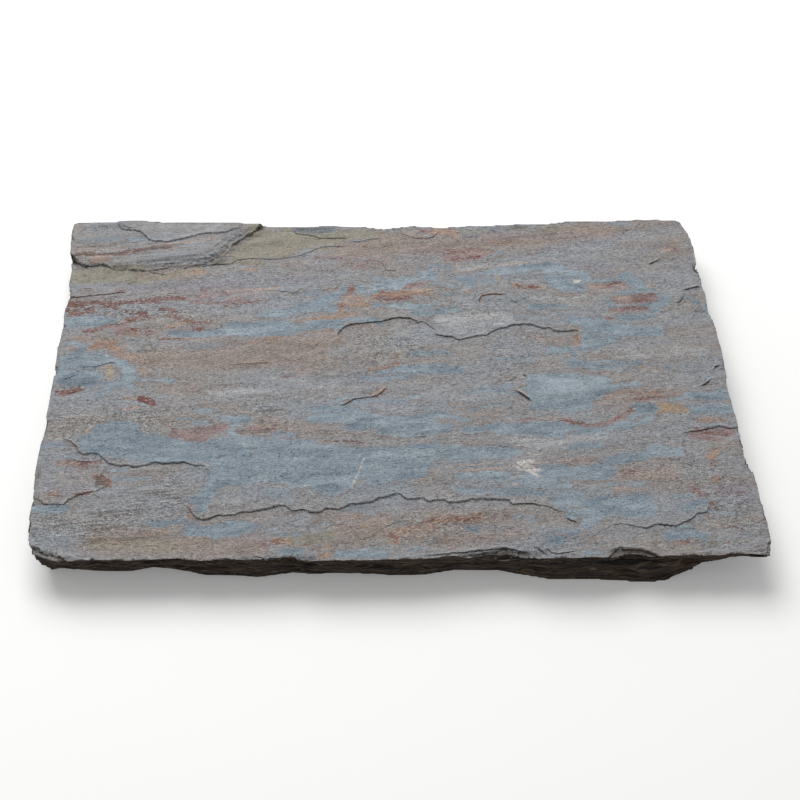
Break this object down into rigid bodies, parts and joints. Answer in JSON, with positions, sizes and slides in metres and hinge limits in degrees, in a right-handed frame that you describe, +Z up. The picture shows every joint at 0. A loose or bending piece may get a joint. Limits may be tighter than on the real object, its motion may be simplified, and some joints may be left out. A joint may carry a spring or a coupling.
{
  "type": "slate stepping stone",
  "caption": "Rectangular riven slate slab with a stepped cleft walking face and hammer-dressed, undercut edges, laid flat as a stepping stone.",
  "frame": {"origin": "on the ground, under the middle of the slab's bounding box", "axes": "+X along the front edge, +Y from the front edge to the back edge, +Z up"},
  "size_m": [0.622, 0.4124, 0.044],
  "materials": {
    "riven_slate": "riven, matt, rust and olive stained grey"
  },
  "bodies": {
    "root": {"slate_slab": "riven_slate"}
  },
  "joints": []
}
